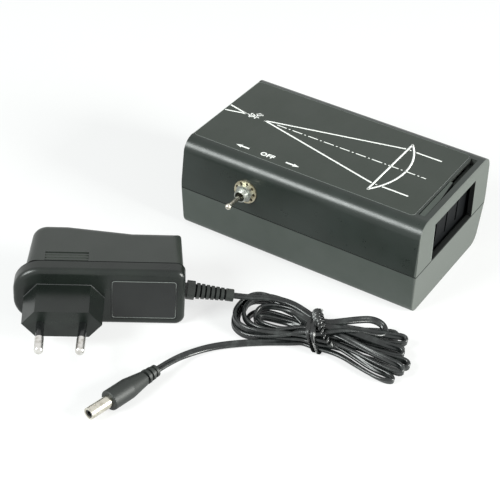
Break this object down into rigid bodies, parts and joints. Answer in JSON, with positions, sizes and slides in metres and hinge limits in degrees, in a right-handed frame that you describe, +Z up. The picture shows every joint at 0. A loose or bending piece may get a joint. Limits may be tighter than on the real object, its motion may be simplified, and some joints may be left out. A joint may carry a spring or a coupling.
{
  "type": "optics ray box",
  "caption": "Optics ray box: a bench lamp case with a lens behind a wide window, a lift-out slit diaphragm, a centre-off toggle and a plug-in supply with tied lead.",
  "frame": {"origin": "centre of the lamp case's flat underside", "axes": "+X along the case towards the parallel-light window, +Y across it towards the supply socket, +Z up"},
  "size_m": [0.1758, 0.2209, 0.0505],
  "materials": {
    "case_plastic": "charcoal ABS with a satin mould texture",
    "printed_film": "charcoal polyester sheet with white print",
    "black_plastic": "black moulded plastic",
    "rating_film": "bare dark film",
    "clear_lens": "polished clear acrylic",
    "led_resin": "silicone dome over yellow phosphor",
    "nickel": "nickel plate",
    "aluminium": "bare sheet",
    "zinc_steel": "zinc-plated steel",
    "contact_brass": "bare brass",
    "circuit_board": "green solder mask",
    "ferrite": "wound ferrite",
    "terminal_plastic": "moulded nylon",
    "cord_pvc": "soft black PVC with a low sheen",
    "inner_wires": "PVC hook-up wire"
  },
  "bodies": {
    "lamp_set": {"top_shell": "case_plastic", "bottom_shell": "case_plastic", "printed_sheet": "printed_film", "lens_holder": "black_plastic", "supply_front_shell": "black_plastic", "supply_back_shell": "black_plastic", "pin_sleeves": "black_plastic", "switch_body": "black_plastic", "supply_socket": "black_plastic", "driver_capacitors": "black_plastic", "supply_reservoirs": "black_plastic", "rating_plate": "rating_film", "lens": "clear_lens", "parallel_led": "led_resin", "divergent_led": "led_resin", "switch_bushing": "nickel", "switch_nut": "nickel", "lock_washer": "nickel", "mains_pins": "nickel", "plug_sleeve": "nickel", "socket_nut": "nickel", "socket_pin": "nickel", "lamp_carrier": "aluminium", "parallel_led_board": "aluminium", "divergent_led_board": "aluminium", "case_screws": "zinc_steel", "lens_clips": "zinc_steel", "lens_clip_screws": "zinc_steel", "carrier_screws": "zinc_steel", "board_screws": "zinc_steel", "switch_terminals": "contact_brass", "driver_board": "circuit_board", "supply_board": "circuit_board", "driver_choke": "ferrite", "supply_transformer": "ferrite", "driver_terminals": "terminal_plastic", "plug_liner": "terminal_plastic", "supply_lead": "cord_pvc", "plug_lead": "cord_pvc", "cord_hank": "cord_pvc", "supply_strain_relief": "cord_pvc", "plug_body": "cord_pvc", "hank_tie": "cord_pvc", "socket_wires": "inner_wires", "lamp_wires": "inner_wires"},
    "lever": {"switch_lever": "nickel"},
    "rocker": {"switch_rocker": "contact_brass"},
    "diaphragm": {"slit_diaphragm": "black_plastic"}
  },
  "joints": [
    {"name": "diaphragm_lift", "type": "slide", "parent": "lamp_set", "child": "diaphragm", "axis": [0, 0, 1], "range_m": [0, 0.03]},
    {"name": "lever_throw", "type": "hinge", "parent": "lamp_set", "child": "lever", "pos_m": [-0.0277, -0.03895, 0.0346], "axis": [0, 0, 1], "range_deg": [-12, 12]},
    {"name": "rocker_tilt", "type": "hinge", "parent": "lamp_set", "child": "rocker", "pos_m": [-0.0277, -0.0319, 0.0346], "axis": [0, 0, 1], "range_deg": [-8, 8]}
  ],
  "couplings": [
    {"joint": "rocker_tilt", "follows": "lever_throw", "ratio": -0.66667}
  ]
}
